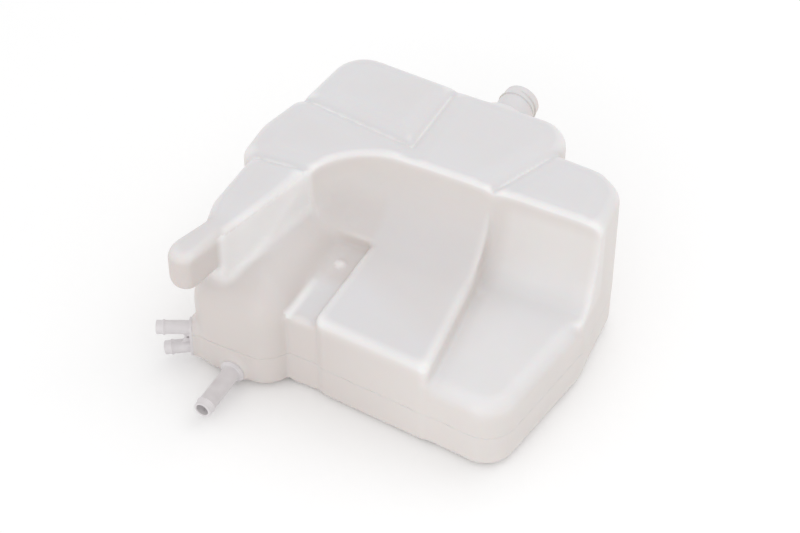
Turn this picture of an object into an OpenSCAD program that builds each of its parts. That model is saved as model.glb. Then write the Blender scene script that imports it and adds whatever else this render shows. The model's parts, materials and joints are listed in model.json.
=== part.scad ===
// Coolant expansion tank for a car's cooling circuit, lying on its flat side.
// Two moulded plastic shells, welded along a flat seam, enclose pillow-shaped chambers with
// baffles between them. The filler neck points to the back, the outlet to the front and the two
// vent spigots to the left. The origin is in the middle of the underside.

/* [Tank] */
// Length of the tank, from left to right
tank_l = 290; // [274:1:306]
// Width of the tank, from the front wall to the back wall
tank_w = 250; // [238:1:266]
// Height of the tank as it lies
tank_h = 140; // [134:1:150]
// Thickness of the upper shell's walls
wall = 2.6; // [2:0.1:3.2]
// Height of the weld seam
seam_h = 34; // [32:0.5:36]
// How far the lower shell stands out past the upper one at the seam
seam_step = 1.2; // [0.4:0.1:2]

/* [Storeys] */
// Height of the plateau in front of the recess
plateau_h = 83; // [79:1:88]
// Height of the pad on the plateau's right
pad_h = 68; // [62:1:74]
// Height of the ledge on the plateau's left
ledge_h = 74; // [70:1:78]
// Height of the bulb at the left front
bulb_h = 98; // [93:1:103]
// Depth of the arm's nose, from the top down
nose_depth = 37; // [33:1:40]
// How far the nose reaches in front of the front wall
nose_reach = 23; // [14:1:32]

/* [Baffles] */
// Thickness of a baffle between two chambers
baffle_t = 2.2; // [1.8:0.1:2.8]
// Place of the baffle between the two back chambers, from the middle
back_baffle_x = -28; // [-38:1:-18]
// Place of the baffle behind the left middle chamber, from the middle
left_baffle_y = 48; // [42:1:54]
// Place of the baffle in front of the left middle chamber, from the middle
arm_baffle_y = -17; // [-22:1:-12]
// Where the right baffle meets the front wall, from the middle
right_baffle_front_x = 66; // [60:1:72]
// Where the right baffle turns, from the middle
right_baffle_turn_x = 49; // [43:1:55]
// Where the right baffle would meet the back wall, from the middle
right_baffle_back_x = 89; // [84:1:94]
// Width of the windows that join the chambers
window_w = 12; // [8:1:16]

/* [Recess] */
// How far the recess reaches back from the middle
recess_y = 28; // [22:1:34]
// Radius of the recess's inner corner at the top
recess_corner_r = 62; // [50:1:74]
// How far the cove runs from its foot on the plateau to the top
cove_run = 51; // [40:1:58]
// How far the cove runs from its foot on the pad to the top
pad_cove_run = 33; // [24:1:40]
// Rounding of the recess's upper edge
ridge_r = 4; // [3.5:0.5:6]

/* [Rounding] */
// Rounding of the upper and lower edges
edge_r = 10; // [7:0.5:12]
// Rounding of the plateau's edges
plateau_edge_r = 6; // [4:0.5:9]
// Rounding of the pad's edges
pad_edge_r = 13; // [8:0.5:16]
// Rounding of the bulb's lower edge
bulb_lower_r = 12; // [8:1:18]
// Rounding of the bulb's dome
dome_r = 34; // [28:1:37]
// Radius of the outer corners in plan
corner_r = 28; // [22:1:34]
// Radius of the bulb's corners in plan
bulb_corner_r = 23; // [18:1:26]
// How much the chambers' top faces are crowned
crown = 1.6; // [0.5:0.1:2.5]

/* [Filler neck] */
// Outer diameter of the neck
neck_d = 30; // [28:0.5:34]
// Bore of the neck
neck_bore = 24; // [20:0.5:25]
// How far the neck stands out of its pad
neck_l = 32; // [26:1:40]
// Diameter of the flange at the neck's root
neck_flange_d = 39; // [37:0.5:40]
// Place of the neck, from the middle
neck_x = 13; // [6:1:24]
// Height of the neck's axis
neck_z = 114; // [108:0.5:117]

/* [Spigots] */
// Outer diameter of a vent spigot
vent_d = 11; // [9:0.5:12]
// Bore of a vent spigot
vent_bore = 7; // [5:0.5:8]
// Length of a vent spigot outside its pad
vent_l = 28; // [24:1:38]
// Height of the middle between the two vent spigots
vent_z = 25; // [23:0.5:27]
// Distance between the two vent spigots
vent_pitch = 19.5; // [18:0.5:22]
// How much shorter the lower vent spigot is
vent_step = 5; // [0:1:8]
// How far the lower vent spigot droops, in degrees
vent_droop = 8; // [0:1:10]
// Turn of the vent spigots from straight left towards the front, in degrees
vent_turn = 27; // [22:1:32]
// How far the vent spigots sit in front of the middle of the bulb's corner
vent_shift = 5; // [2:0.5:7]
// Diameter of the flange round each vent spigot
vent_flange_d = 16; // [14:0.5:17]
// Outer diameter of the outlet spigot
outlet_d = 14; // [12:0.5:15]
// Bore of the outlet spigot
outlet_bore = 10; // [8:0.5:11]
// Length of the outlet spigot outside its pad
outlet_l = 46; // [40:1:56]
// Diameter of the flange round the outlet spigot
outlet_flange_d = 20; // [17:0.5:21]
// Place of the outlet spigot, from the tank's left side
outlet_in = 51; // [46:1:59]
// Height of the outlet spigot's axis
outlet_z = 14.5; // [13:0.5:18]
// Thickness of the flanges that are welded to the shells
flange_t = 2; // [1.5:0.1:3]
// How far the hose bead stands out of a spigot
bead_h = 0.8; // [0.4:0.1:1.2]
// Distance of a hose bead from the spigot's end
bead_inset = 7; // [4:0.5:10]
// Thickness of the web between the vent spigots
web_t = 3; // [2:0.5:4]

/* [Hidden] */
$fn = 64;

// The tank's sides
x_left = -tank_l / 2;
x_right = tank_l / 2;
y_front = -tank_w / 2;
y_back = tank_w / 2;

// Two chambers overlap by this much on each side of a baffle's middle
lap = wall - baffle_t / 2;

// The right baffle is bent where it passes the recess's edge
right_turn = [right_baffle_turn_x, recess_y];
right_back = [right_baffle_back_x, y_back];
right_front = [right_baffle_front_x, y_front];

// Small radii for corners that lie inside another chamber or against one
inner_r = 4;

// Neighbouring chambers differ a little in rounding, so a valley's two sides do too
tight_r = edge_r - 0.6;
loose_r = edge_r + 0.7;

function x_on_line(a, b, y) = a.x + (b.x - a.x) * (y - a.y) / (b.y - a.y);
function right_baffle_x(y) =
    y < recess_y ? x_on_line(right_front, right_turn, y) : x_on_line(right_turn, right_back, y);

function unit(v) = v / norm(v);
function left_normal(a, b) = let (u = unit(b - a)) [-u.y, u.x];
function arc_steps(r) = r > 18 ? 6 : r > 7 ? 3 : 1;

// The points of one rounded corner at b, moved inwards by d
function corner_arc(a, b, c, r, d) =
    let (
        n1 = left_normal(a, b),
        n2 = left_normal(b, c),
        rest = max(r - d, 0.4),
        centre = b + (n1 + n2) * (d + rest) / (1 + n1 * n2),
        start = atan2(-n1.y, -n1.x),
        turn = acos(n1 * n2),
        steps = arc_steps(r)
    )
    [for (i = [0 : steps]) centre + rest * [cos(start + turn * i / steps), sin(start + turn * i / steps)]];

function plan_point(corner) = [corner.x, corner.y];

// A convex outline with rounded corners [x, y, radius], anticlockwise, moved inwards by d
function outline(corners, d) =
    let (m = len(corners))
    [for (i = [0 : m - 1])
        each corner_arc(
            plan_point(corners[(i + m - 1) % m]),
            plan_point(corners[i]),
            plan_point(corners[(i + 1) % m]),
            corners[i].z,
            d
        )];

// The mould's surfaces are laid out on this step, in millimetres
grid = 0.05;

function on_grid(v) = round(v / grid) * grid;
function at_height(points, z) = [for (p = points) [on_grid(p.x), on_grid(p.y), on_grid(z)]];

// Skin over a stack of rings that have the same number of points
module loft(rings) {
    n = len(rings[0]);
    top = (len(rings) - 1) * n;
    polyhedron(
        points = [for (ring = rings) each ring],
        faces = [
            [for (i = [0 : n - 1]) i],
            for (k = [0 : n : top - n], i = [0 : n - 1])
                [k + i, k + n + i, k + n + (i + 1) % n, k + (i + 1) % n],
            [for (i = [n - 1 : -1 : 0]) top + i]
        ]
    );
}

// A pillow-shaped chamber: [corners, bottom, top, lower rounding, upper rounding, crowned].
// It is drawn smaller by inset in plan and by skin at the bottom and the top.
module chamber(shape, inset, skin) {
    low_r = max(shape[3] - skin, 1);
    high_r = max(shape[4] - skin, 1);
    low = shape[1] + skin;
    high = shape[2] - skin;
    steps = skin > 0 ? 3 : 4;
    crown_h = shape[5] ? crown : 0;
    loft(concat(
        [for (i = [0 : steps])
            let (a = 90 * i / steps)
            at_height(outline(shape[0], inset + low_r * (1 - sin(a))), low + low_r * (1 - cos(a)))],
        [for (i = [0 : steps])
            let (a = 90 * i / steps)
            at_height(
                outline(shape[0], inset + high_r * (1 - cos(a))),
                high - crown_h - high_r * (1 - sin(a))
            )],
        shape[5] ? [at_height(outline(shape[0], inset + high_r + edge_r), high)] : []
    ));
}

// The space of a recess with a concave cove behind it, from the outline at its foot to the one
// at the top. It is drawn larger by grow.
module recess(foot, top, foot_h, grow) {
    lip_r = ridge_r - grow;
    rise = tank_h - ridge_r - foot_h + grow;
    steps = 6;
    loft(concat(
        [for (i = [0 : steps])
            let (a = 90 * i / steps)
            at_height(
                outline(foot + (top - foot) * sin(a), -grow),
                foot_h - grow + rise * (1 - cos(a))
            )],
        [for (i = [1 : 3])
            at_height(
                outline(top, -grow - lip_r * (1 - cos(30 * i))),
                tank_h - ridge_r + lip_r * sin(30 * i)
            )],
        [at_height(outline(top, -ridge_r), tank_h + 1)]
    ));
}

// Chambers that reach the top, left of the right baffle
back_left = [
    [
        [back_baffle_x + lap, y_back - 3, inner_r],
        [x_left + 21, y_back + 1.5, corner_r],
        [x_left + 14, left_baffle_y + 8 - lap, inner_r],
        [back_baffle_x + lap, left_baffle_y - 6 - lap, inner_r]
    ], 0, tank_h, tight_r, tight_r, true
];
middle_left = [
    [
        [back_baffle_x + 12, left_baffle_y - 6 + lap, inner_r],
        [x_left + 11, left_baffle_y + 8 + lap, 12],
        [x_left + 1, 14, 26],
        [x_left + 3, arm_baffle_y - 8 - lap, 12],
        [back_baffle_x + 12, arm_baffle_y + 4 - lap, inner_r]
    ], 0, tank_h, loose_r, loose_r, true
];
middle_back = [
    [
        [back_baffle_x - lap, 6, inner_r],
        [x_on_line(right_turn, right_back, 6) + lap, 6, inner_r],
        [right_back.x + lap, y_back - 4, corner_r],
        [back_baffle_x - lap, y_back - 4, inner_r]
    ], 0, tank_h, edge_r, edge_r, true
];
middle_front = [
    [
        [back_baffle_x - 1, arm_baffle_y - 6, inner_r],
        [right_baffle_x(arm_baffle_y - 6), arm_baffle_y - 6, inner_r],
        [right_turn.x, recess_y + 2, inner_r],
        [back_baffle_x - 1, recess_y + 2, inner_r]
    ], 0, tank_h, edge_r - 2, edge_r - 2, false
];
arm = [
    [
        [x_left + 62, arm_baffle_y - 2 + lap, inner_r],
        [x_left + 13, arm_baffle_y - 7 + lap, 10],
        [x_left + 13, y_front + 44, 20],
        [x_left + 22, y_front + 13, 12],
        [x_left + 44, y_front + 13, 12]
    ], 0, tank_h, tight_r, tight_r, false
];
nose = [
    [
        [x_left + 41, y_front + 30, 8],
        [x_left + 20, y_front + 28, 8],
        [x_left + 9, y_front - 7, 14],
        [x_left + 12, y_front - nose_reach, 12],
        [x_left + 33, y_front - nose_reach, 12]
    ], tank_h - nose_depth, tank_h, 10, 9, false
];
left_chambers = [back_left, middle_left, middle_back, middle_front, arm, nose];

// The chamber that reaches the top, right of the right baffle
back_right = [
    [
        [right_baffle_x(-12) - lap, -12, inner_r],
        [x_right - 3, -12, inner_r],
        [x_right - 9, y_back - 54, 24],
        [x_right - 32, y_back - 39, 24],
        [right_baffle_x(y_back - 37) - lap, y_back - 37, inner_r],
        [right_turn.x - lap, right_turn.y, inner_r]
    ], 0, tank_h, loose_r, loose_r, true
];

// Chambers that end below the recess
plateau = [
    [
        [back_baffle_x - 5, y_front + 15, 10],
        [right_baffle_x(y_front + 8) + lap, y_front + 8, inner_r],
        [right_turn.x + lap, right_turn.y, inner_r],
        [back_baffle_x - 5, right_turn.y, inner_r]
    ], 0, plateau_h, tight_r, plateau_edge_r, false
];
pad = [
    [
        [right_front.x - lap, y_front + 9, inner_r],
        [x_right - 19, y_front + 4, corner_r - 3],
        [x_right - 2.5, -4, 20],
        [x_right - 7.5, 36, inner_r],
        [right_turn.x - lap, right_turn.y, inner_r]
    ], 0, pad_h, edge_r + 1, pad_edge_r, false
];
ledge = [
    [
        [back_baffle_x - 30, y_front + 17, inner_r],
        [back_baffle_x + 4, y_front + 17, inner_r],
        [back_baffle_x + 4, arm_baffle_y + 5, inner_r],
        [back_baffle_x - 30, arm_baffle_y + 5, inner_r]
    ], 0, ledge_h, edge_r - 1.5, inner_r, false
];
bulb = [
    [
        [x_left + 8, y_front, bulb_corner_r],
        [back_baffle_x - 26, y_front, bulb_corner_r + 4],
        [back_baffle_x - 27, arm_baffle_y + 2 + lap, inner_r],
        [x_left + 10, arm_baffle_y - 5 + lap, inner_r]
    ], 0, bulb_h, bulb_lower_r, dome_r, false
];
lower_chambers = [plateau, pad, ledge, bulb];

// Outlines of the recess: inner corner first, then three corners far outside the tank
far = tank_l + tank_w;
left_recess_top = [
    [x_left + 72, recess_y - ridge_r, recess_corner_r],
    [x_left + 72 - 0.238 * far, recess_y - far, 1],
    [far, recess_y - far, 1],
    [far, recess_y - ridge_r, 1]
];
left_recess_foot = [
    [x_left + 104, recess_y - cove_run, 30],
    [x_left + 104 - 0.58 * far, recess_y - far, 1],
    [far, recess_y - far, 1],
    [far, recess_y - cove_run, 1]
];
right_recess_top = [
    [0, recess_y - ridge_r, 1],
    [0, recess_y - far, 1],
    [far, recess_y - far, 1],
    [far, recess_y - ridge_r, 1]
];
right_recess_foot = [
    [0, recess_y - pad_cove_run, 1],
    [0, recess_y - far, 1],
    [far, recess_y - far, 1],
    [far, recess_y - pad_cove_run, 1]
];

// The whole tank's form, smaller by inset in plan and by skin at the bottom and the top
module form(inset, skin) {
    difference() {
        for (shape = left_chambers) chamber(shape, inset, skin);
        recess(left_recess_foot, left_recess_top, plateau_h, skin);
    }
    difference() {
        chamber(back_right, inset, skin);
        recess(right_recess_foot, right_recess_top, pad_h, skin);
    }
    for (shape = lower_chambers) chamber(shape, inset, skin);
}

// A window through a baffle that crosses the given place along x or along y
module window(place, along_x) {
    depth = 6 * wall;
    translate(place)
        cube(along_x ? [depth, window_w, window_w] : [window_w, depth, window_w], center = true);
}

low_window_z = wall + window_w / 2 + 2;
high_window_z = tank_h - wall - edge_r - window_w / 2;

module windows() {
    for (z = [low_window_z, high_window_z]) {
        window([back_baffle_x, y_back - 35, z], true);
        window([right_baffle_x(recess_y + 30), recess_y + 30, z], true);
        window([x_left + 36, arm_baffle_y, z], false);
    }
}

module half(above) {
    size = 2 * far;
    translate([-size / 2, -size / 2, above ? seam_h : seam_h - size]) cube(size);
}

// The flat pads that the fittings are welded to stand out this far past the walls
pad_out = 2;
// Room round a pad's flange
pad_margin = 1;

// Places of the fittings: each has its root on its pad and points out of the tank along z
bulb_corner = [x_left + 8 + bulb_corner_r, y_front + bulb_corner_r];
vent_low_z = vent_z - vent_pitch / 2;
vent_high_z = vent_z + vent_pitch / 2;

module at_vent(z, droop)
    translate([bulb_corner.x, bulb_corner.y, z])
        rotate([0, 0, 180 + vent_turn])
            translate([bulb_corner_r + pad_out, vent_shift, 0])
                rotate([0, 90 + droop, 0])
                    children();

module at_outlet()
    translate([x_left + outlet_in, y_front - pad_out, outlet_z])
        rotate([90, 0, 0])
            children();

module at_neck()
    translate([neck_x, y_back - 4 + pad_out, neck_z])
        rotate([-90, 0, 0])
            children();

// A pad behind a flange of diameter d, down to depth
module pad_disc(d, depth) translate([0, 0, -depth]) cylinder(d = d + 2 * pad_margin, h = depth, $fn = 40);

module pads() {
    depth = 12;
    hull() {
        at_vent(vent_low_z, 0) pad_disc(vent_flange_d, depth);
        at_vent(vent_high_z, 0) pad_disc(vent_flange_d, depth);
    }
    at_outlet() pad_disc(outlet_flange_d, depth);
    at_neck() pad_disc(neck_flange_d, depth);
}

// Holes through the walls, a little wider than the fittings' bores
module wall_holes() {
    depth = 30;
    at_vent(vent_low_z, vent_droop) wall_hole(vent_bore, depth);
    at_vent(vent_high_z, 0) wall_hole(vent_bore, depth);
    at_outlet() wall_hole(outlet_bore, depth);
    at_neck() wall_hole(neck_bore, depth);
}

module wall_hole(d, depth) translate([0, 0, -depth]) cylinder(d = d + 0.5, h = depth + 1, $fn = 32);

// One shell of the tank
module shell(above) {
    resize([0, 0, 0])
        difference() {
            intersection() {
                union() {
                    form(above ? 0 : -seam_step, 0);
                    pads();
                }
                half(above);
            }
            form(wall, wall);
            windows();
            wall_holes();
        }
}

// A round spigot along z with a hose bead near its end
module spigot(d, length) {
    cylinder(d = d, h = length);
    translate([0, 0, length - bead_inset]) cylinder(d1 = d, d2 = d + 2 * bead_h, h = bead_h);
    translate([0, 0, length - bead_inset + bead_h]) cylinder(d = d + 2 * bead_h, h = 2 * bead_h);
}

module flange(d) cylinder(d = d, h = flange_t);

module bore(d, length) translate([0, 0, -1]) cylinder(d = d, h = length + 2);

module lower_shell() color([0.87, 0.87, 0.85]) shell(false);

module upper_shell() color([0.88, 0.88, 0.87]) shell(true);

module filler_neck() {
    color([0.87, 0.87, 0.87])
        at_neck()
            difference() {
                union() {
                    cylinder(d = neck_d, h = neck_l);
                    flange(neck_flange_d);
                }
                bore(neck_bore, neck_l);
            }
}

// The two vent spigots are one moulding, joined by their flanges and a web
module vent_spigots() {
    web_l = 9;
    low_l = vent_l - vent_step;
    color([0.82, 0.82, 0.82])
        difference() {
            union() {
                at_vent(vent_low_z, vent_droop) spigot(vent_d, low_l);
                at_vent(vent_high_z, 0) spigot(vent_d, vent_l);
                for (z = [vent_low_z, vent_high_z]) at_vent(z, 0) flange(vent_flange_d);
                at_vent(vent_z, 0)
                    translate([-vent_pitch / 2, -web_t / 2, 0])
                        cube([vent_pitch, web_t, web_l]);
                at_vent(vent_z, 0)
                    translate([-vent_pitch / 2, -vent_flange_d / 2, 0])
                        cube([vent_pitch, vent_flange_d, flange_t]);
            }
            at_vent(vent_low_z, vent_droop) bore(vent_bore, low_l);
            at_vent(vent_high_z, 0) bore(vent_bore, vent_l);
        }
}

module outlet_spigot() {
    color([0.82, 0.82, 0.82])
        at_outlet()
            difference() {
                union() {
                    spigot(outlet_d, outlet_l);
                    flange(outlet_flange_d);
                }
                bore(outlet_bore, outlet_l);
            }
}

lower_shell();
upper_shell();
filler_neck();
vent_spigots();
outlet_spigot();
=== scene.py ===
import bpy, bmesh, json, math
import numpy as np
from mathutils import Matrix, Vector

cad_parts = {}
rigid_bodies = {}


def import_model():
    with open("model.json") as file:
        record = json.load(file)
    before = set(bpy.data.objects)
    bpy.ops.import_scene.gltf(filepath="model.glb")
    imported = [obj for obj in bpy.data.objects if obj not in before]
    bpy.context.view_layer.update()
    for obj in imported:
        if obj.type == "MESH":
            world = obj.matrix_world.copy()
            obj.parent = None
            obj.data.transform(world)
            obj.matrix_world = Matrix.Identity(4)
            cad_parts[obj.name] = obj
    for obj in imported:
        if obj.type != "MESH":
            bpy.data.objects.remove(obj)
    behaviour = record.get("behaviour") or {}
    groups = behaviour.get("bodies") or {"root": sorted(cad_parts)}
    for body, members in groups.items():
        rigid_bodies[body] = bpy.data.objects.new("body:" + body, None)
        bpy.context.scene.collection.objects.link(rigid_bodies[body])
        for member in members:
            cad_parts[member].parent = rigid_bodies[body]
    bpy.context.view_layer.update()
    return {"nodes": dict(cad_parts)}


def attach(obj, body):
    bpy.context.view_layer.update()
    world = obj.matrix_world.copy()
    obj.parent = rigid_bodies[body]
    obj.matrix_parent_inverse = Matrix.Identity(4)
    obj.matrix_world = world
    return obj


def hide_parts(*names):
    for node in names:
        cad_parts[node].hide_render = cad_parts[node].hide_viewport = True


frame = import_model()
print("frame loaded:", sorted(frame["nodes"]))

# sizes in millimetres, as in the part's source, but with a finer step at the seam
tank = {"height": 140.0, "seam": 34.0, "seamStep": 0.3, "seamLap": 0.5, "crown": 1.6, "crownRun": 10.0}
# the form is laid out on a grid, which is finer round the seam
mould = {"step": 1.85, "x": (-152, 152), "y": (-155, 134), "underside": -1.3, "belowSeam": 31.6,
         "seamLevels": [32.6, 33.3, 33.85, 34.15, 34.7, 35.6], "aboveSeam": 37.2, "top": 146,
         "outlineStep": 1.5, "blur": 1, "reliefBlur": 12, "innerWall": 4.4, "deepest": 50,
         "relax": 0.35, "inside": -2.2, "thinning": 0.85, "pinchRounds": 12, "filled": -0.3}


# corners are (x, y, radius), anticlockwise; low and high are the lower and upper roundings
def chamber(corners, low, high, top=140, bottom=0, crowned=False):
    return {"corners": corners, "low": low, "high": high, "top": top, "bottom": bottom, "crowned": crowned}


leftChambers = {
    "backLeft": chamber([(-26.5, 122, 4), (-124, 126.5, 28), (-131, 54.5, 4), (-26.5, 40.5, 4)],
                        9.4, 9.4, crowned=True),
    "middleLeft": chamber([(-16, 43.5, 4), (-134, 57.5, 12), (-144, 14, 26), (-142, -26.5, 12),
                           (-16, -14.5, 4)], 10.7, 10.7, crowned=True),
    "middleBack": chamber([(-29.5, 6, 4), (41.43, 6, 4), (90.5, 121, 28), (-29.5, 121, 4)],
                          10, 10, crowned=True),
    "middleFront": chamber([(-29, -23, 4), (54.67, -23, 4), (49, 30, 4), (-29, 30, 4)], 8, 8),
    "arm": chamber([(-83, -17.5, 4), (-132, -22.5, 10), (-132, -81, 20), (-123, -112, 12), (-101, -112, 12)],
                   9.4, 9.4),
    "nose": chamber([(-104, -95, 8), (-125, -97, 8), (-136, -132, 14), (-133, -148, 12), (-112, -148, 12)],
                    10, 9, bottom=103),
}
rightChamber = chamber([(51.94, -12, 4), (142, -12, 4), (136, 71, 24), (113, 86, 24), (72.24, 88, 4),
                        (47.5, 28, 4)], 10.7, 10.7, crowned=True)
lowerChambers = {
    "plateau": chamber([(-33, -110, 10), (66.61, -117, 4), (50.5, 28, 4), (-33, 28, 4)], 9.4, 6, top=83),
    "pad": chamber([(64.5, -116, 4), (126, -121, 25), (142.5, -4, 20), (137.5, 36, 4), (47.5, 28, 4)],
                   11, 13, top=68),
    "ledge": chamber([(-58, -108, 4), (-24, -108, 4), (-24, -12, 4), (-58, -12, 4)], 8.5, 4, top=74),
    "bulb": chamber([(-137, -125, 23), (-54, -125, 27), (-55, 8, 4), (-132, 6, 4)], 12, 34, top=98),
}
# a small knob on the ledge; its last size is how far round its axis the plastic is painted lighter, a painted
# highlight
boss = {"root": np.array([-46.0, -41.0, 76.5]), "way": np.array([0, 0, 1.0]), "radius": 3.6, "depth": 12.0,
        "bright": 4.5}


def roundedOutline(corners):
    points = []
    n = len(corners)
    for i in range(n):
        a, b, c = (np.array(corners[(i + k) % n][:2], float) for k in (-1, 0, 1))
        r = corners[i][2]
        u, v = (b - a) / np.linalg.norm(b - a), (c - b) / np.linalg.norm(c - b)
        n1, n2 = np.array([-u[1], u[0]]), np.array([-v[1], v[0]])
        centre = b + (n1 + n2) * r / (1 + n1 @ n2)
        start = math.atan2(-n1[1], -n1[0])
        turn = math.acos(max(-1, min(1, n1 @ n2)))
        steps = max(2, int(r * turn / mould["outlineStep"]))
        for k in range(steps + 1):
            angle = start + turn * k / steps
            points.append(centre + r * np.array([math.cos(angle), math.sin(angle)]))
    return np.array(points)


# distance of plan points to an outline, below zero inside it
def planDistance(px, py, corners):
    points = roundedOutline(corners)
    best = np.full(px.shape, 1e9)
    inside = np.ones(px.shape, bool)
    for a, b in zip(points, np.roll(points, -1, axis=0)):
        e = b - a
        length = e @ e
        if length < 1e-9:
            continue
        wx, wy = px - a[0], py - a[1]
        t = np.clip((wx * e[0] + wy * e[1]) / length, 0, 1)
        best = np.minimum(best, (wx - t * e[0]) ** 2 + (wy - t * e[1]) ** 2)
        inside &= e[0] * wy - e[1] * wx >= 0
    return np.where(inside, -1, 1) * np.sqrt(best)


def chamberField(shape, X, Y, Z):
    plan = planDistance(X[:, :, 0], Y[:, :, 0], shape["corners"])[:, :, None]
    top = shape["top"]
    if shape["crowned"]:
        rise = np.clip((-plan - shape["high"]) / tank["crownRun"], 0, 1)
        top = shape["top"] - tank["crown"] * (1 - rise * rise * (3 - 2 * rise))
    upper = Z > (shape["bottom"] + shape["top"]) / 2
    r = np.where(upper, shape["high"], shape["low"])
    q1 = plan + r
    q2 = np.where(upper, Z - top, shape["bottom"] - Z) + r
    return np.minimum(np.maximum(q1, q2), 0) + np.hypot(np.maximum(q1, 0), np.maximum(q2, 0)) - r


# a pair is a place at the recess's foot and the change from there to its top
recess = {"plateau": 83.0, "pad": 68.0, "ridge": 4.0, "cornerX": (-41, -32), "cornerY": (-23, 47),
          "cornerR": (30, 32), "farX": (-354.2, 152.7), "farY": -512, "padEdge": (-5, 29)}
cove = {"firstShare": -0.3, "lastShare": 1.7, "steps": 21, "reach": 9, "flattest": 0.004,
        "uprightRun": 34, "uprightBlend": 12}


def placed(key, s):
    return recess[key][0] + recess[key][1] * s


# the recess over the plateau in plan: in front of one line and right of another, with a round inner corner
def plateauRecessPlan(x, y, s):
    cx, cy, r = placed("cornerX", s), placed("cornerY", s), placed("cornerR", s)
    dx, dy = placed("farX", s) - cx, recess["farY"] - cy
    bx, by = dy / np.hypot(dx, dy), -dx / np.hypot(dx, dy)
    px, py = x - (cx - r * bx / (1 + by)), y - (cy - r)
    alpha, beta = py - px * by / bx, px / bx
    flat = np.maximum(y - cy, (x - cx) * bx + (y - cy) * by)
    return np.where((alpha > 0) & (beta > 0), np.hypot(px, py) - r, flat)


def padRecessPlan(x, y, s):
    return y - placed("padEdge", s)


# a recess whose cove is a quarter ellipse from its foot's outline (share 0) to the one at the top (share 1)
def recessField(plan, foot, X, Y, Z, axes):
    x, y = X[:, :, 0], Y[:, :, 0]
    shares = np.linspace(cove["firstShare"], cove["lastShare"], cove["steps"])
    levels = np.maximum.accumulate(np.stack([plan(x, y, s) for s in shares[::-1]]))[::-1]
    passed = np.argmax(levels <= 0, axis=0)
    passed = np.where((levels > 0).all(0), len(shares) - 1, np.maximum(passed, 1))
    after = np.take_along_axis(levels, passed[None], 0)[0]
    before = np.take_along_axis(levels, passed[None] - 1, 0)[0]
    between = np.clip(-after / np.maximum(before - after, 1e-6), -cove["reach"], cove["reach"])
    share = shares[passed] - (shares[1] - shares[0]) * between
    edge = tank["height"] - recess["ridge"]
    drop = np.maximum(edge - Z, 0) / (edge - foot)
    g = np.hypot(np.maximum(share, 0)[:, :, None], drop) - 1
    gx, gy, gz = np.gradient(g, *axes)
    t = np.clip((Z - edge) / recess["ridge"], 0, 1)
    lip = recess["ridge"] * (1 - np.sqrt(1 - t * t))
    d = g / np.maximum(np.sqrt(gx * gx + gy * gy + gz * gz), cove["flattest"])
    # where foot and top lie close together, the outline at each height serves as it is
    run = (plan(x, y, 0.0) - plan(x, y, 1.0))[:, :, None]
    upright = np.maximum(plan(X, Y, np.sqrt(1 - np.minimum(drop, 1) ** 2)), plan(x, y, 1.0)[:, :, None])
    d = d + (upright - d) * np.clip((cove["uprightRun"] - run) / cove["uprightBlend"], 0, 1)
    return np.maximum(d - lip, foot - Z)


# the fittings' places: root on the pad, and the way each points
ventPlace = {"turn": 207, "corner": (-114, -102, 0), "out": 25, "shift": 5, "low": 15.25, "high": 34.75,
             "pad": 9.0}
ventAngle = math.radians(ventPlace["turn"])
ventWay = np.array([math.cos(ventAngle), math.sin(ventAngle), 0])
ventSide = np.array([-ventWay[1], ventWay[0], 0])
ventRoot = np.array(ventPlace["corner"]) + ventPlace["out"] * ventWay + ventPlace["shift"] * ventSide
fittings = {
    "neck": {"root": np.array([13, 123, 114.0]), "way": np.array([0, 1.0, 0]), "pad": 20.5, "hole": 13.2},
    "outlet": {"root": np.array([-94, -127, 14.5]), "way": np.array([0, -1.0, 0]), "pad": 11.0, "hole": 6.0},
    "lowVent": {"root": ventRoot + [0, 0, ventPlace["low"]], "way": ventWay, "hole": 4.6},
    "highVent": {"root": ventRoot + [0, 0, ventPlace["high"]], "way": ventWay, "hole": 4.6},
}
welds = {"depth": 12, "sink": 0.25, "blend": 5.0, "holeDepth": 14, "holeFront": 6}


# union of two forms with a soft valley of the given reach
def joined(a, b, reach):
    near = np.maximum(reach - np.abs(a - b), 0) / np.maximum(reach, 1e-6)
    return np.minimum(a, b) - near * near * reach / 4


def rodField(X, Y, Z, root, way, radius, depth, front=0.0):
    px, py, pz = X - root[0], Y - root[1], Z - root[2]
    along = px * way[0] + py * way[1] + pz * way[2]
    radial = np.sqrt(np.maximum(px * px + py * py + pz * pz - along * along, 0))
    return np.maximum(radial - radius, np.maximum(along - front, -depth - along))


def softened(field, rounds):
    for _ in range(rounds):
        for axis in range(3):
            padded = np.concatenate([field.take([0], axis), field, field.take([-1], axis)], axis)
            n = field.shape[axis]
            field = (padded.take(range(0, n), axis) + 2 * field + padded.take(range(2, n + 2), axis)) / 4
    return field


# no two walls meet along one edge: where four grid points change side crosswise, one of them is filled
def unpinched(field):
    field = field.copy()
    for _ in range(mould["pinchRounds"]):
        found = 0
        for axis in range(3):
            u, v = [k for k in range(3) if k != axis]
            quarter = {}
            for i in (0, 1):
                for j in (0, 1):
                    part = [slice(None)] * 3
                    part[u] = slice(i, field.shape[u] - 1 + i)
                    part[v] = slice(j, field.shape[v] - 1 + j)
                    quarter[i, j] = field[tuple(part)]
            for near, far, first, second in (((0, 0), (1, 1), (0, 1), (1, 0)),
                                             ((0, 1), (1, 0), (0, 0), (1, 1))):
                crossed = ((quarter[near] < 0) & (quarter[far] < 0)
                           & (quarter[first] >= 0) & (quarter[second] >= 0))
                quarter[first][crossed] = mould["filled"]
                found += int(crossed.sum())
        if not found:
            break
    return field


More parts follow.
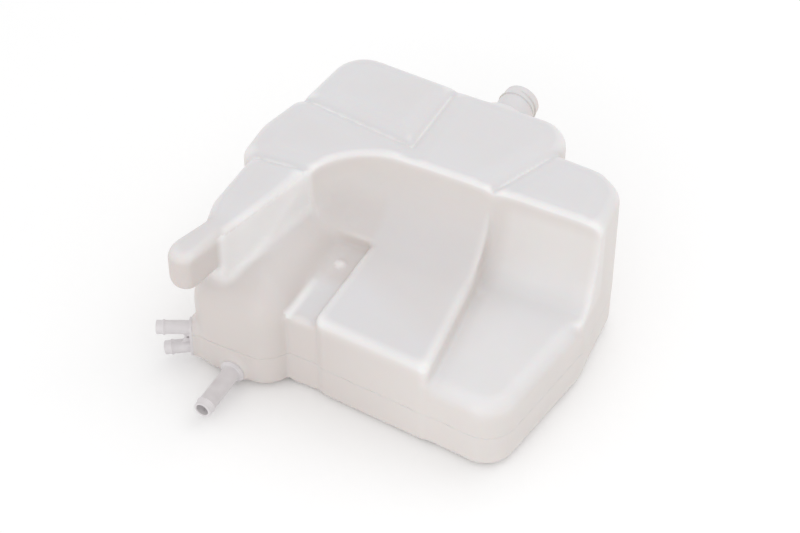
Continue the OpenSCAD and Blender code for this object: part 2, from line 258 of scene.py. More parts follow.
# a closed skin on the zero level of a field over a grid
def skinFromField(field, axes):
    xs, ys, zs = axes
    inside = field < 0
    nx, ny, nz = (k - 1 for k in field.shape)
    corners = [(i, j, k) for i in (0, 1) for j in (0, 1) for k in (0, 1)]
    count = sum(inside[i:nx + i, j:ny + j, k:nz + k].astype(np.int8) for i, j, k in corners)
    cells = np.argwhere((count > 0) & (count < 8))
    total, hits = np.zeros((len(cells), 3)), np.zeros(len(cells))
    for axis in range(3):
        for u in (0, 1):
            for v in (0, 1):
                a = cells.copy()
                others = [k for k in range(3) if k != axis]
                a[:, others[0]] += u
                a[:, others[1]] += v
                b = a.copy()
                b[:, axis] += 1
                fa, fb = field[tuple(a.T)], field[tuple(b.T)]
                crossed = (fa < 0) != (fb < 0)
                t = np.where(crossed, fa / np.where(crossed, fa - fb, 1), 0)
                pa = np.stack([xs[a[:, 0]], ys[a[:, 1]], zs[a[:, 2]]], 1)
                pb = np.stack([xs[b[:, 0]], ys[b[:, 1]], zs[b[:, 2]]], 1)
                total += np.where(crossed[:, None], pa + (pb - pa) * t[:, None], 0)
                hits += crossed
    points = total / hits[:, None]
    index = np.full((nx, ny, nz), -1, np.int64)
    index[tuple(cells.T)] = np.arange(len(cells))
    quads = []
    for axis in range(3):
        near = [slice(1, -1)] * 3
        far = [slice(1, -1)] * 3
        near[axis], far[axis] = slice(0, -1), slice(1, None)
        first, second = inside[tuple(near)], inside[tuple(far)]
        u, v = [(1, 2), (2, 0), (0, 1)][axis]
        for flip, mask in ((False, first & ~second), (True, ~first & second)):
            at = np.argwhere(mask)
            at[:, u] += 1
            at[:, v] += 1
            ring = []
            for du, dv in ((-1, -1), (0, -1), (0, 0), (-1, 0)):
                c = at.copy()
                c[:, u] += du
                c[:, v] += dv
                ring.append(index[tuple(c.T)])
            ring = ring[::-1] if flip else ring
            quads.append(np.stack(ring, 1))
    return points, np.concatenate(quads)


def sampled(field, axes, points):
    spots, lows = [], []
    for axis, values in enumerate(axes):
        low = np.clip(np.searchsorted(values, points[:, axis]) - 1, 0, len(values) - 2)
        lows.append(low)
        spots.append((points[:, axis] - values[low]) / (values[low + 1] - values[low]))
    result = 0
    for i in (0, 1):
        for j in (0, 1):
            for k in (0, 1):
                weight = 1
                for bit, spot in zip((i, j, k), spots):
                    weight = weight * (spot if bit else 1 - spot)
                result = result + weight * field[lows[0] + i, lows[1] + j, lows[2] + k]
    return result


def relaxed(points, quads, rounds, share):
    edges = np.concatenate([quads[:, [k, (k + 1) % 4]] for k in range(4)])
    for _ in range(rounds):
        total, n = np.zeros_like(points), np.zeros(len(points))
        np.add.at(total, edges[:, 0], points[edges[:, 1]])
        np.add.at(n, edges[:, 0], 1)
        points = points + share * (total / n[:, None] - points)
    return points


def newPiece(name, points, faces, attributes=None):
    mesh = bpy.data.meshes.new(name)
    mesh.from_pydata((np.asarray(points) * 0.001).tolist(), [], [list(map(int, f)) for f in faces])
    mesh.validate()
    for key, values in (attributes or {}).items():
        layer = mesh.attributes.new(key, "FLOAT", "POINT")
        layer.data.foreach_set("value", np.asarray(values, np.float32))
    mesh.polygons.foreach_set("use_smooth", [True] * len(mesh.polygons))
    piece = bpy.data.objects.new(name, mesh)
    bpy.context.scene.collection.objects.link(piece)
    return piece


# the inside needs fewer faces than the outside
def thinned(piece, inside):
    group = piece.vertex_groups.new(name="inside")
    group.add([int(k) for k in np.nonzero(inside)[0]], 1.0, "REPLACE")
    share = inside.mean()
    modifier = piece.modifiers.new("thin", "DECIMATE")
    modifier.vertex_group = "inside"
    modifier.ratio = 1 - mould["thinning"] * share
    view = bpy.context.evaluated_depsgraph_get()
    mesh = bpy.data.meshes.new_from_object(piece.evaluated_get(view))
    piece.modifiers.clear()
    piece.data = mesh
    return piece


# up and down are ramps along x, y or z that a region's share is multiplied by: up rises from a place over
# a run, down falls over a run to nothing at a place, and a sharp one is a plain edge
sharp = 0.01
# painted shade: where the plastic is painted darker and browner, on the bulb, the front wall, the cove, the
# inner corner and the nose, where shade falls
shadeRegions = {
    "bulb": {"share": 0.75, "down": [("z", 112, 16)]},
    "front": {"share": 0.65, "down": [("x", 70, 90), ("y", -96, 12), ("z", 82, 12)]},
    "cove": {"share": 0.34, "up": [("x", -62, 12)], "down": [("y", 40, sharp), ("z", 132, 26)]},
    "corner": {"share": 0.62, "up": [("x", -84, 14), ("y", -66, 12)],
               "down": [("x", -22, 14), ("y", 30, sharp), ("z", 120, 20)]},
    "nose": {"share": 0.9, "down": [("z", 142, 10)]},
}
shadeSizes = {"reach": 9, "ledgeGap": 5, "bulbFoot": 0.7, "bulbRise": 50, "coveFoot": -60.0,
              "coveSlant": -0.42, "coveFrom": -33.0, "coveRun": 26.0, "coveEnd": 100, "coveFade": 60,
              "coveLeast": 0.1}
# and painted light: the arm's side, the top's valleys, the boss, two edges and the pad's pocket are painted
# lighter, as painted highlights
paintedLightRegions = {
    "side": {"share": 0.8, "up": [("z", 78, 20)], "down": [("z", 136, sharp)]},
    "valley": {"share": 0.8, "up": [("y", -40, sharp), ("z", 120, 8)]},
    "boss": {"share": 0.55, "up": [("z", 74, 2)]},
    "ledgeEdge": {"share": 0.85, "up": [("y", -107, sharp)], "down": [("y", -63, 5)], "line": (-55.5, 74.5)},
    "plateauEdge": {"share": 0.7, "up": [("y", -52, 4)], "down": [("y", -28, 4)], "line": (-33, 82)},
    "pocket": {"share": 0.3, "up": [("x", 58, 10), ("z", 60, 6)], "down": [("y", 32, sharp), ("z", 132, 10)]},
}
paintedLightSizes = {"reach": 5, "valleyDepth": 0.56, "valleyRun": 0.5, "lineCore": 1.4, "lineWidth": 3.6}


def regionShare(points, settings):
    share = settings["share"]
    for axis, start, run in settings.get("up", ()):
        share = share * np.clip((points[:, "xyz".index(axis)] - start) / run, 0, 1)
    for axis, end, run in settings.get("down", ()):
        share = share * np.clip((end - points[:, "xyz".index(axis)]) / run, 0, 1)
    if "line" in settings:
        away = np.hypot(points[:, 0] - settings["line"][0], points[:, 2] - settings["line"][1])
        share = share * np.clip(paintedLightSizes["lineCore"] - away / paintedLightSizes["lineWidth"], 0, 1)
    return share


# one on a chamber's own surface, less on what lies within reach of it
def nearness(field, skin, reach):
    return np.clip(1 - (field - skin) / reach, 0, 1)


def shadeAt(points, fields, outer, axes):
    x, y, z = points.T
    k = shadeSizes
    at = {name: sampled(fields[name], axes, points) for name in ("bulb", "ledge", "nose")}
    skin = sampled(outer, axes, points)
    # painted shade on and near the bulb, weaker towards its bottom
    bulb = nearness(at["bulb"], skin, k["reach"]) * np.clip((at["ledge"] - skin) / k["ledgeGap"], 0, 1)
    bulb = bulb * (k["bulbFoot"] + (1 - k["bulbFoot"]) * np.clip(z / k["bulbRise"], 0, 1))
    # painted shade in the cove, growing back from its foot line and fading to the right
    foot = k["coveFoot"] + k["coveSlant"] * (x - k["coveFrom"])
    paintedShade = np.clip((y - foot) / k["coveRun"], 0, 1)
    paintedShade = paintedShade * np.clip((k["coveEnd"] - x) / k["coveFade"], k["coveLeast"], 1)
    nose = nearness(at["nose"], skin, k["reach"])
    parts = {"bulb": bulb, "front": 1, "cove": paintedShade, "corner": 1, "nose": nose}
    return np.maximum.reduce([regionShare(points, shadeRegions[name]) * part for name, part in parts.items()])


# painted light: how much each place is painted towards the palest colour
def paintedLightAt(points, arm, outer, relief, axes):
    k = paintedLightSizes
    sides = nearness(sampled(arm, axes, points), sampled(outer, axes, points), k["reach"])
    sunk = np.clip((-sampled(relief, axes, points) - k["valleyDepth"]) / k["valleyRun"], 0, 1)
    away = np.hypot(points[:, 0] - boss["root"][0], points[:, 1] - boss["root"][1])
    parts = {"side": sides, "valley": sunk, "boss": away < boss["bright"],
             "ledgeEdge": 1, "plateauEdge": 1, "pocket": 1}
    return np.maximum.reduce([regionShare(points, paintedLightRegions[name]) * part for name, part in parts.items()])


# how far the soft valleys reach where forms meet, and where they fade out
valleys = {"reach": 9.0, "endHeight": 118, "heightRun": 22, "startY": -122, "runY": 14,
           "bulbReach": 12.0, "bulbStartY": -100, "bulbRunY": 30, "bossReach": 2.0}


def tankForm(axes, X, Y, Z):
    shapes = {**leftChambers, **lowerChambers}
    fields = {name: chamberField(shape, X, Y, Z) for name, shape in shapes.items()}
    left = np.minimum.reduce([fields[name] for name in leftChambers])
    left = np.maximum(left, -recessField(plateauRecessPlan, recess["plateau"], X, Y, Z, axes))
    left = np.minimum(np.minimum(left, fields["plateau"]), fields["ledge"])
    right = chamberField(rightChamber, X, Y, Z)
    right = np.maximum(right, -recessField(padRecessPlan, recess["pad"], X, Y, Z, axes))
    right = np.minimum(right, fields["pad"])
    v = valleys
    fade = np.clip((v["endHeight"] - Z) / v["heightRun"], 0, 1) * np.clip((Y - v["startY"]) / v["runY"], 0, 1)
    form = joined(left, right, v["reach"] * fade)
    form = joined(form, fields["bulb"], v["bulbReach"] * np.clip((Y - v["bulbStartY"]) / v["bulbRunY"], 0, 1))
    knob = rodField(X, Y, Z, boss["root"], boss["way"], boss["radius"], boss["depth"])
    return joined(form, knob, v["bossReach"]), fields


# the pads that the fittings' flanges stand on, one of them long for both vents
def padField(X, Y, Z):
    discs = [rodField(X, Y, Z, f["root"], f["way"], f["pad"], welds["depth"])
             for f in (fittings["neck"], fittings["outlet"])]
    px, py, pz = X - ventRoot[0], Y - ventRoot[1], Z - np.clip(Z, ventPlace["low"], ventPlace["high"])
    along = px * ventWay[0] + py * ventWay[1]
    radial = np.sqrt(np.maximum(px * px + py * py - along * along, 0) + pz * pz)
    long = np.maximum(radial - ventPlace["pad"], np.maximum(along, -welds["depth"] - along))
    return np.minimum.reduce(discs + [long])


def tankSkins():
    step = mould["step"]
    zs = np.concatenate([np.arange(mould["underside"] - 2 * step, mould["belowSeam"], step),
                         mould["seamLevels"], np.arange(mould["aboveSeam"], mould["top"], step)])
    axes = (np.arange(*mould["x"], step), np.arange(*mould["y"], step), zs)
    X, Y, Z = np.meshgrid(*axes, indexing="ij")
    form, fields = tankForm(axes, X, Y, Z)
    print("form laid out on a grid of", form.shape)
    outer = softened(form, mould["blur"])
    relief = softened(form, mould["reliefBlur"]) - outer
    outer = joined(outer, padField(X, Y, Z) - welds["sink"], welds["blend"])
    inner = np.minimum(outer, mould["deepest"]) + mould["innerWall"]
    holes = [rodField(X, Y, Z, f["root"], f["way"], f["hole"], welds["holeDepth"], welds["holeFront"])
             for f in fittings.values()]
    hollow = np.minimum.reduce([inner] + holes)
    skins = {}
    lowerForm = np.maximum(np.maximum(outer + tank["seamStep"], -Z), Z - tank["seam"] - tank["seamLap"])
    upperForm = np.maximum(outer, tank["seam"] - Z)
    for name, solid in (("lowerShell", lowerForm), ("upperShell", upperForm)):
        solid = unpinched(np.maximum(solid, -hollow))
        points, quads = skinFromField(solid, axes)
        points = relaxed(points, quads, 1, mould["relax"])
        inside = sampled(outer, axes, points) < mould["inside"]
        marks = {"relief": sampled(relief, axes, points),
                 "shade": shadeAt(points, fields, outer, axes),
                 "paintedLight": paintedLightAt(points, fields["arm"], outer, relief, axes)}
        skins[name] = thinned(newPiece(name, points, quads, marks), inside)
        print(name, "skin:", len(quads), "faces, then", len(skins[name].data.polygons))
    return skins


skins = tankSkins()


# shader maths written as expressions
class Sock:
    def __init__(self, mat, socket):
        self.mat, self.socket = mat, socket

    def maths(self, operation, other, swap=False):
        pair = (other, self) if swap else (self, other)
        return self.mat.node("ShaderNodeMath", {"operation": operation}, {0: pair[0], 1: pair[1]})

    def __add__(self, other): return self.maths("ADD", other)
    def __radd__(self, other): return self.maths("ADD", other, True)
    def __mul__(self, other): return self.maths("MULTIPLY", other)
    def __rmul__(self, other): return self.maths("MULTIPLY", other, True)


class Finish:
    def __init__(self, name):
        self.material = bpy.data.materials.new(name)
        self.material.use_nodes = True
        self.tree = self.material.node_tree
        self.shader = self.tree.nodes["Principled BSDF"]

    def node(self, kind, settings=None, inputs=None, output=0):
        made = self.tree.nodes.new(kind)
        for key, value in (settings or {}).items():
            setattr(made, key, value)
        for key, value in (inputs or {}).items():
            if isinstance(value, Sock):
                self.tree.links.new(value.socket, made.inputs[key])
            else:
                made.inputs[key].default_value = value
        return Sock(self, made.outputs[output])

    def feed(self, key, value):
        if isinstance(value, Sock):
            self.tree.links.new(value.socket, self.shader.inputs[key])
        else:
            self.shader.inputs[key].default_value = value

    def blend(self, share, a, b):
        return self.node("ShaderNodeMix", {"data_type": "RGBA"}, {0: share, 6: a, 7: b}, 2)

    def noise(self, place, scale, detail=2.0):
        return self.node("ShaderNodeTexNoise", {}, {"Vector": place, "Scale": scale, "Detail": detail})

    def clamped(self, value, low, high):
        return self.node("ShaderNodeMapRange", {}, {0: value, 1: low, 2: high, 3: 0.0, 4: 1.0})

    def bump(self, strength, distance, height):
        self.feed("Normal", self.node("ShaderNodeBump", {}, {"Strength": strength, "Distance": distance,
                                                             "Height": height}))


# milky natural plastic with painted light: cool and pale on top and warmer on the sides, by which way a face
# turns; painted shade, warmer and darker, in the hollows; painted highlights, lighter, on the ridges
milky = {"pale": (0.715, 0.705, 0.72, 1), "wall": (0.76, 0.715, 0.69, 1), "warm": (0.66, 0.61, 0.585, 1),
         "ridge": (0.90, 0.89, 0.89, 1), "paintedShade": (0.645, 0.59, 0.565, 1),
         "facingUp": (0.15, 0.9), "sloped": (-0.05, 0.45), "hollows": (0.25, 2.2), "hollowShare": 0.45,
         "ridges": (0.35, 1.9), "uprightRidge": 0.25, "blotch": 14.0, "blotches": (0.35, 0.75),
         "blotchShare": 0.25, "rough": (0.34, 0.16), "roughScale": 90.0, "grain": 620.0, "grainShare": 0.35,
         "wave": 55.0, "bump": (0.12, 0.0006), "scatter": (0.12, 0.006)}


def milkyPlastic(name):
    f, m = Finish(name), milky
    place = f.node("ShaderNodeTexCoord", output=3)
    relief, shade, paintedLight = [f.node("ShaderNodeAttribute", {"attribute_name": mark}, output=2)
                           for mark in ("relief", "shade", "paintedLight")]
    facing = f.node("ShaderNodeSeparateXYZ", {}, {0: f.node("ShaderNodeNewGeometry", output=1)}, 2)
    # painted light by facing: the sides are painted warmer, the faces turned up cool and pale
    colour = f.blend(f.clamped(facing, *m["facingUp"]), m["wall"], m["pale"])
    # painted shade: the hollows are painted warmer and darker
    colour = f.blend(f.clamped(relief * -1, *m["hollows"]) * m["hollowShare"], colour, m["warm"])
    # painted highlight: the ridges are painted in the palest colour, less so on upright faces
    upward = m["uprightRidge"] + (1 - m["uprightRidge"]) * f.clamped(facing, *m["sloped"])
    colour = f.blend(f.clamped(relief, *m["ridges"]) * upward, colour, m["ridge"])
    # painted shade, in the darkest brown
    colour = f.blend(shade, colour, m["paintedShade"])
    # painted light and painted highlights, in the palest colour
    colour = f.blend(paintedLight, colour, m["ridge"])
    blotch = f.clamped(f.noise(place, m["blotch"], 3.0), *m["blotches"])
    f.feed("Base Color", f.blend(blotch * m["blotchShare"], colour, m["warm"]))
    f.feed("Roughness", m["rough"][0] + m["rough"][1] * f.noise(place, m["roughScale"]))
    f.bump(*m["bump"], f.noise(place, m["grain"]) * m["grainShare"] + f.noise(place, m["wave"], 1.0))
    f.feed("Subsurface Weight", m["scatter"][0])
    f.feed("Subsurface Scale", m["scatter"][1])
    return f.material


# the welded fittings: the same family of plastic, denser, greyer and more neutral
dense = {"base": (0.74, 0.71, 0.72, 1), "dark": (0.66, 0.63, 0.64, 1), "cloud": 70.0, "clouds": (0.3, 0.75),
         "rough": (0.30, 0.14), "roughScale": 160.0, "grain": 700.0, "bump": (0.10, 0.0004)}


def fittingPlastic(name):
    f, d = Finish(name), dense
    place = f.node("ShaderNodeTexCoord", output=3)
    cloud = f.clamped(f.noise(place, d["cloud"], 3.0), *d["clouds"])
    f.feed("Base Color", f.blend(cloud, d["base"], d["dark"]))
    f.feed("Roughness", d["rough"][0] + d["rough"][1] * f.noise(place, d["roughScale"]))
    f.bump(*d["bump"], f.noise(place, d["grain"]))
    return f.material


milkyFinish = milkyPlastic("milkyPlastic")
denseFinish = fittingPlastic("densePlastic")


# the fittings are tubes turned about the way they point
def basis(way):
    w = Vector(way).normalized()
    u = w.cross(Vector((0, 0, 1))).normalized()
    return u, w.cross(u), w


def lathe(bm, root, way, profile, segments=72):
    u, v, w = basis(way)
    rings = []
    for radius, along in profile:
        rings.append([bm.verts.new(Vector(root) + w * along + (u * math.cos(a) + v * math.sin(a)) * radius)
                      for a in (2 * math.pi * k / segments for k in range(segments))])
    for first, second in zip(rings, rings[1:] + rings[:1]):
        for k in range(segments):
            bm.faces.new((first[k], first[(k + 1) % segments], second[(k + 1) % segments], second[k]))


def bend(centre, radius, start, end, steps=5):
    return [(centre[0] + radius * math.cos(math.radians(start + (end - start) * k / steps)),
             centre[1] + radius * math.sin(math.radians(start + (end - start) * k / steps)))
            for k in range(steps + 1)]


tubeEdges = {"flangeR": 0.6, "filletR": 1.2, "tipR": 0.9, "mouthR": 0.5, "beadR": 0.5, "beadLead": 0.4,
             "beadLip": 0.15, "beadTail": 0.3, "sharpAngle": 40}


# the outline of a tube's wall as (radius, along); a bead is (place, height), steep behind and slow in front
def tubeProfile(outer, bore, length, flange, flangeT, bead=None):
    e = tubeEdges
    points = [(bore, 0.0), (flange, 0.0)] if flange else [(bore, 0.0), (outer, 0.0)]
    if flange:
        points += bend((flange - e["flangeR"], flangeT - e["flangeR"]), e["flangeR"], 0, 90)
        points += bend((outer + e["filletR"], flangeT + e["filletR"]), e["filletR"], 270, 180)
    if bead:
        place, height = bead
        end = place + 3 * height
        points += [(outer, place - e["beadLead"]), (outer + height * 0.5, place + height * 0.35)]
        points += bend((outer + height - e["beadR"], place + height * 1.1), e["beadR"], -20, 90)
        points += [(outer + e["beadLip"], end), (outer, end + e["beadTail"])]
    points += bend((outer - e["tipR"], length - e["tipR"]), e["tipR"], 0, 90)
    points += bend((bore + e["mouthR"], length - e["mouthR"]), e["mouthR"], 90, 180)
    return points


def fromBmesh(name, bm, material):
    bmesh.ops.recalc_face_normals(bm, faces=bm.faces)
    bm.transform(Matrix.Scale(0.001, 4))
    mesh = bpy.data.meshes.new(name)
    bm.to_mesh(mesh)
    bm.free()
    mesh.polygons.foreach_set("use_smooth", [True] * len(mesh.polygons))
    mesh.set_sharp_from_angle(angle=math.radians(tubeEdges["sharpAngle"]))
    piece = bpy.data.objects.new(name, mesh)
    bpy.context.scene.collection.objects.link(piece)
    mesh.materials.append(material)
    return piece


neckSizes = {"outer": 15.0, "bore": 12.0, "length": 32.0, "flange": 19.5, "flangeT": 2.0,
             "threadStart": 20.0, "threadRise": 6.0, "threadTurns": 1.25, "threadR": 0.85, "threadOut": 0.1}


def fillerNeck():
    bm = bmesh.new()
    n = neckSizes
    lathe(bm, fittings["neck"]["root"], fittings["neck"]["way"],
          tubeProfile(n["outer"], n["bore"], n["length"], n["flange"], n["flangeT"]), 96)
    return fromBmesh("fillerNeck", bm, milkyFinish)


# a small helper to build node trees that make shapes
class ShapeTree:
    def __init__(self, name, inputs):
        self.tree = bpy.data.node_groups.new(name, "GeometryNodeTree")
        self.tree.interface.new_socket("Geometry", in_out="OUTPUT", socket_type="NodeSocketGeometry")
        self.ids = {}
        for key, value in inputs.items():
            made = self.tree.interface.new_socket(key, in_out="INPUT", socket_type="NodeSocketFloat")
            made.default_value = value
            self.ids[key] = made.identifier
        self.start = self.tree.nodes.new("NodeGroupInput")
        self.end = self.tree.nodes.new("NodeGroupOutput")

    def node(self, kind, settings=None, inputs=None):
        made = self.tree.nodes.new(kind)
        for key, value in (settings or {}).items():
            setattr(made, key, value)
        for key, value in (inputs or {}).items():
            if isinstance(value, bpy.types.NodeSocket):
                self.tree.links.new(value, made.inputs[key])
            else:
                made.inputs[key].default_value = value
        return made.outputs

    def given(self, key):
        return self.start.outputs[key]

    def piece(self, name, values, geometry, material):
        real = self.node("GeometryNodeRealizeInstances", {}, {"Geometry": geometry})[0]
        done = self.node("GeometryNodeSetMaterial", {}, {"Geometry": real, "Material": material})[0]
        self.tree.links.new(done, self.end.inputs[0])
        piece = bpy.data.objects.new(name, bpy.data.meshes.new(name))
        bpy.context.scene.collection.objects.link(piece)
        modifier = piece.modifiers.new("shape", "NODES")
        modifier.node_group = self.tree
        for key, value in values.items():
            modifier[self.ids[key]] = value
        view = bpy.context.evaluated_depsgraph_get()
        mesh = bpy.data.meshes.new_from_object(piece.evaluated_get(view))
        piece.modifiers.clear()
        piece.data = mesh
        piece.data.polygons.foreach_set("use_smooth", [True] * len(mesh.polygons))
        return piece


# the cap's thread: one rib on a helix that rises out of the neck's wall and sinks back into it
swelling = {"most": 0.08, "soft": 0.06, "gain": 12.5}


def neckThread():
    n = neckSizes
    t = ShapeTree("neckThread", {"Radius": 0.015, "Rise": 0.007, "Turns": 1.5, "Rib": 0.001, "Start": 0.02})
    spiral = t.node("GeometryNodeCurveSpiral", {}, {"Resolution": 72, "Rotations": t.given("Turns"),
                                                    "Start Radius": t.given("Radius"),
                                                    "End Radius": t.given("Radius"),
                                                    "Height": t.given("Rise")})[0]
    factor = t.node("GeometryNodeSplineParameter")["Factor"]
    ends = t.node("ShaderNodeMath", {"operation": "PINGPONG"}, {0: factor, 1: 0.5})[0]
    swell = t.node("ShaderNodeMath", {"operation": "SMOOTH_MIN"},
                   {0: ends, 1: swelling["most"], 2: swelling["soft"]})[0]
    thick = t.node("ShaderNodeMath", {"operation": "MULTIPLY"}, {0: swell, 1: swelling["gain"]})[0]
    spiral = t.node("GeometryNodeSetCurveRadius", {}, {"Curve": spiral, "Radius": thick})[0]
    rib = t.node("GeometryNodeCurvePrimitiveCircle", {}, {"Resolution": 10, "Radius": t.given("Rib")})[0]
    sweep = t.tree.nodes.new("GeometryNodeCurveToMesh")
    t.tree.links.new(spiral, sweep.inputs["Curve"])
    t.tree.links.new(rib, sweep.inputs["Profile Curve"])
    sweep.inputs["Fill Caps"].default_value = True
    if "Scale" in sweep.inputs:
        t.tree.links.new(thick, sweep.inputs["Scale"])
    root = fittings["neck"]["root"] * 0.001
    place = t.node("ShaderNodeCombineXYZ", {}, {"X": float(root[0]), "Y": t.given("Start"),
                                                "Z": float(root[2])})[0]
    turned = t.node("GeometryNodeTransform", {}, {"Geometry": sweep.outputs[0], "Translation": place,
                                                  "Rotation": (math.radians(-90), 0, 0)})[0]
    values = {"Radius": (n["outer"] + n["threadOut"]) * 0.001, "Rise": n["threadRise"] * 0.001,
              "Turns": n["threadTurns"], "Rib": n["threadR"] * 0.001,
              "Start": float(root[1]) + n["threadStart"] * 0.001}
    return t.piece("neckThread", values, turned, milkyFinish)


outletSizes = {"outer": 7.0, "bore": 5.0, "length": 46.0, "flange": 10.0, "flangeT": 2.0, "bead": (39.0, 0.8)}


def outletSpigot():
    bm = bmesh.new()
    o = outletSizes
    lathe(bm, fittings["outlet"]["root"], fittings["outlet"]["way"],
          tubeProfile(o["outer"], o["bore"], o["length"], o["flange"], o["flangeT"], o["bead"]))
    return fromBmesh("outletSpigot", bm, denseFinish)


ventSizes = {"outer": 5.5, "bore": 3.5, "highLength": 28.0, "lowLength": 23.0, "droop": 8.0, "beadInset": 7.0,
             "bead": 0.8, "flange": 8.0, "flangeT": 2.0, "webFoot": 0.5, "webLength": 9.0, "webT": 3.0,
             "webNotch": 2.4, "webHoleX": 4.2, "webHole": 1.1}


def plate(bm, outline, holes, place, thickness):
    verts = []
    edges = []
    for loop in [outline] + holes:
        ring = [bm.verts.new(place(a, b, -thickness / 2)) for a, b in loop]
        verts += ring
        edges += [bm.edges.new((ring[k], ring[(k + 1) % len(ring)])) for k in range(len(ring))]
    made = bmesh.ops.triangle_fill(bm, use_beauty=True, use_dissolve=False, edges=edges)
    faces = [g for g in made["geom"] if isinstance(g, bmesh.types.BMFace)]
    more = bmesh.ops.extrude_face_region(bm, geom=faces)
    step = place(0, 0, thickness / 2) - place(0, 0, -thickness / 2)
    bmesh.ops.translate(bm, vec=step, verts=[g for g in more["geom"] if isinstance(g, bmesh.types.BMVert)])


def ventSpigots():
    bm = bmesh.new()
    v = ventSizes
    low, high = ventPlace["low"], ventPlace["high"]
    droop = math.radians(v["droop"])
    root, way, side = Vector(ventRoot), Vector(ventWay), Vector(ventSide)
    lowWay = way * math.cos(droop) - Vector((0, 0, math.sin(droop)))
    for name, to, length in (("lowVent", lowWay, v["lowLength"]), ("highVent", way, v["highLength"])):
        lathe(bm, fittings[name]["root"], to,
              tubeProfile(v["outer"], v["bore"], length, None, 0, (length - v["beadInset"], v["bead"])))
    # one flange with two round ends and a hole for each bore
    ends = bend((0, low), v["flange"], 180, 360, 20) + bend((0, high), v["flange"], 0, 180, 20)
    holes = [bend((0, z), v["bore"], 0, 360, 32)[:-1] for z in (low, high)]
    plate(bm, ends, holes, lambda a, b, t: root + side * a + way * (v["flangeT"] / 2 + t) + Vector((0, 0, b)),
          v["flangeT"])
    # one upright web between the tubes, notched in front, with a small hole
    web = [(v["webFoot"], low + 3), (v["webLength"], low + 2)]
    web += [(v["webLength"] - v["webNotch"] * math.sin(math.pi * k / 12), low + 4 + (high - low - 8) * k / 12)
            for k in range(13)]
    web += [(v["webLength"], high - 2), (v["webFoot"], high - 3)]
    hole = bend((v["webHoleX"], (low + high) / 2), v["webHole"], 0, 360, 20)[:-1]
    plate(bm, web, [hole], lambda a, b, t: root + way * a + side * t + Vector((0, 0, b)), v["webT"])
    return fromBmesh("ventSpigots", bm, denseFinish)


neck, thread, outlet, vents = fillerNeck(), neckThread(), outletSpigot(), ventSpigots()
print("fittings made")

for skin in skins.values():
    skin.data.materials.append(milkyFinish)
for piece, node, slot in ((skins["lowerShell"], "lower_shell", "natural_plastic"),
                          (skins["upperShell"], "upper_shell", "natural_plastic"),
                          (neck, "filler_neck", "natural_plastic"),
                          (vents, "vent_spigots", "fitting_plastic"),
                          (outlet, "outlet_spigot", "fitting_plastic")):
    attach(piece, "root")
    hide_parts(node)
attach(thread, "root")

# floor, light and camera
studio = {"azimuth": 27.4, "elevation": 44.4, "distance": 1.714, "target": (-0.0116, -0.0087, 0.060),
          "lens": 100.0, "sensor": 36.0, "world": 0.86, "floorHalf": 6.0, "floorLow": 0.0002,
          "floorTone": (0.93, 0.93, 0.93, 1), "paper": 0.02,
          "lamps": {"softbox": ((0.35, 0.75, 1.5), 4.0), "fill": ((0.1, -1.7, 0.75), 5.0)},
          "lampSize": (1.6, 1.2), "lampAim": (0, 0, 0.05)}
white, black = (1.0, 1.0, 1.0, 1), (0.0, 0.0, 0.0, 1)
# to these rays floor and world look white, while they light the tank a little less than white would
lookingRays = ("Is Camera Ray", "Is Glossy Ray", "Is Transmission Ray")


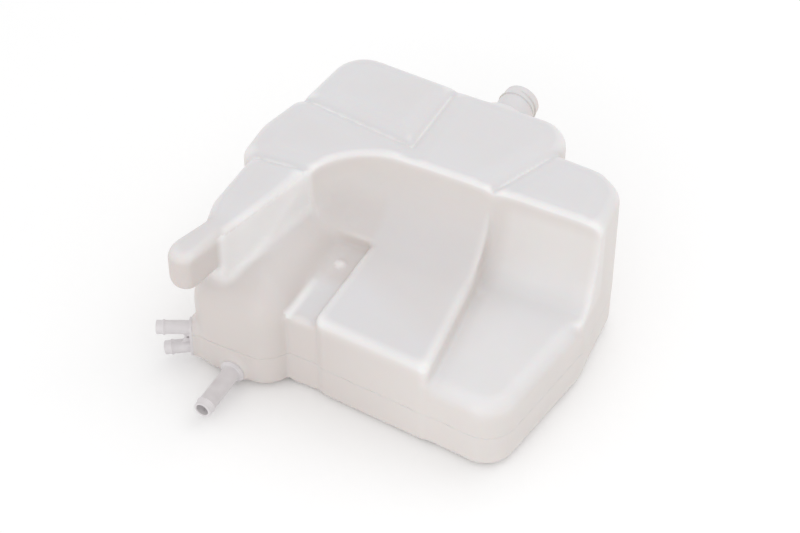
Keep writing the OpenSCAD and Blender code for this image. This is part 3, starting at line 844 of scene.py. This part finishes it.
def studioFloor():
    bm = bmesh.new()
    bmesh.ops.create_grid(bm, x_segments=8, y_segments=8, size=studio["floorHalf"])
    bmesh.ops.translate(bm, vec=(0, 0, -studio["floorLow"]), verts=bm.verts)
    mesh = bpy.data.meshes.new("floor")
    bm.to_mesh(mesh)
    bm.free()
    floor = bpy.data.objects.new("floor", mesh)
    bpy.context.scene.collection.objects.link(floor)
    f = Finish("floorPaper")
    rays = [f.node("ShaderNodeLightPath", output=name) for name in lookingRays]
    looked = f.node("ShaderNodeMath", {"operation": "MAXIMUM"}, {0: rays[0], 1: rays[1]})
    looked = f.node("ShaderNodeMath", {"operation": "MAXIMUM"}, {0: looked, 1: rays[2]})
    f.feed("Base Color", f.blend(looked, studio["floorTone"], white))
    f.feed("Emission Color", f.blend(looked, black, white))
    f.feed("Emission Strength", studio["paper"])
    f.feed("Roughness", 0.9)
    f.feed("Specular IOR Level", 0.0)
    mesh.materials.append(f.material)


def studioLight():
    world = bpy.data.worlds.new("studio")
    bpy.context.scene.world = world
    world.use_nodes = True
    tree = world.node_tree
    back = tree.nodes["Background"]
    ray = tree.nodes.new("ShaderNodeLightPath")
    looked = ray.outputs[lookingRays[0]]
    for name in lookingRays[1:]:
        either = tree.nodes.new("ShaderNodeMath")
        either.operation = "MAXIMUM"
        tree.links.new(looked, either.inputs[0])
        tree.links.new(ray.outputs[name], either.inputs[1])
        looked = either.outputs[0]
    level = tree.nodes.new("ShaderNodeMapRange")
    level.inputs[3].default_value, level.inputs[4].default_value = studio["world"], 1.0
    tree.links.new(looked, level.inputs[0])
    tree.links.new(level.outputs[0], back.inputs["Strength"])
    back.inputs["Color"].default_value = white
    for name, (place, energy) in studio["lamps"].items():
        lamp = bpy.data.lights.new(name, "AREA")
        lamp.shape, lamp.energy = "RECTANGLE", energy
        lamp.size, lamp.size_y = studio["lampSize"]
        holder = bpy.data.objects.new(name, lamp)
        holder.location = place
        way = Vector(studio["lampAim"]) - holder.location
        holder.rotation_euler = way.to_track_quat("-Z", "Y").to_euler()
        bpy.context.scene.collection.objects.link(holder)


def studioCamera():
    data = bpy.data.cameras.new("camera")
    data.lens, data.sensor_width = studio["lens"], studio["sensor"]
    camera = bpy.data.objects.new("camera", data)
    az, el = math.radians(studio["azimuth"]), math.radians(studio["elevation"])
    target = Vector(studio["target"])
    away = Vector((math.sin(az) * math.cos(el), -math.cos(az) * math.cos(el), math.sin(el)))
    camera.location = target + away * studio["distance"]
    camera.rotation_euler = (-away).to_track_quat("-Z", "Y").to_euler()
    bpy.context.scene.collection.objects.link(camera)
    bpy.context.scene.camera = camera


studioFloor()
studioLight()
studioCamera()
bpy.context.scene.view_settings.view_transform = "Standard"
